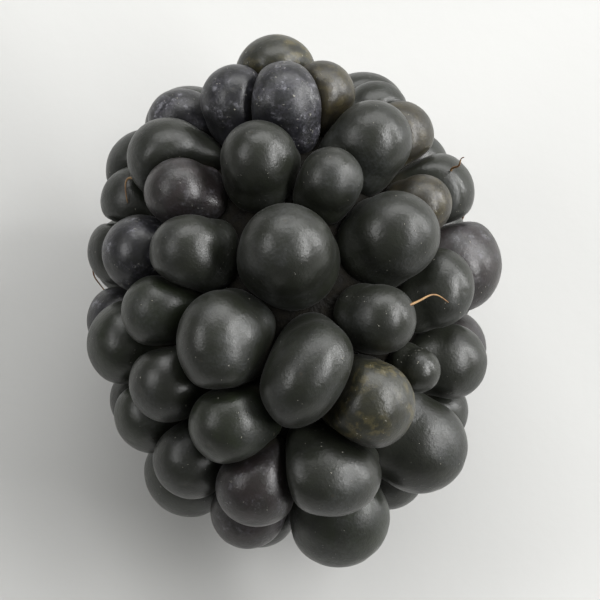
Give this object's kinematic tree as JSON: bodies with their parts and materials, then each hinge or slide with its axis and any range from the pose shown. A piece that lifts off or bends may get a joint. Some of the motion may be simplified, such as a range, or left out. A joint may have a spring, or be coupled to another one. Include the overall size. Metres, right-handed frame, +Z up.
{
  "type": "bramble_berry",
  "caption": "Ripe bramble berry as picked, lying on its side: plump dark drupelets packed on an egg-shaped head, with the pale torn end of the receptacle at its picked end.",
  "frame": {"origin": "on the surface that the fruit lies on, under the middle of its box", "axes": "+Y along the fruit's axis towards its picked end, +Z up"},
  "size_m": [0.0216, 0.027, 0.0213],
  "materials": {
    "ripe_skin": "thin taut fruit skin, near black with purple and olive casts, satin gloss",
    "torn_pith": "pale green-yellow plant fibre, torn across, dull"
  },
  "bodies": {
    "root": {"drupelets": "ripe_skin", "receptacle": "torn_pith"}
  },
  "joints": []
}
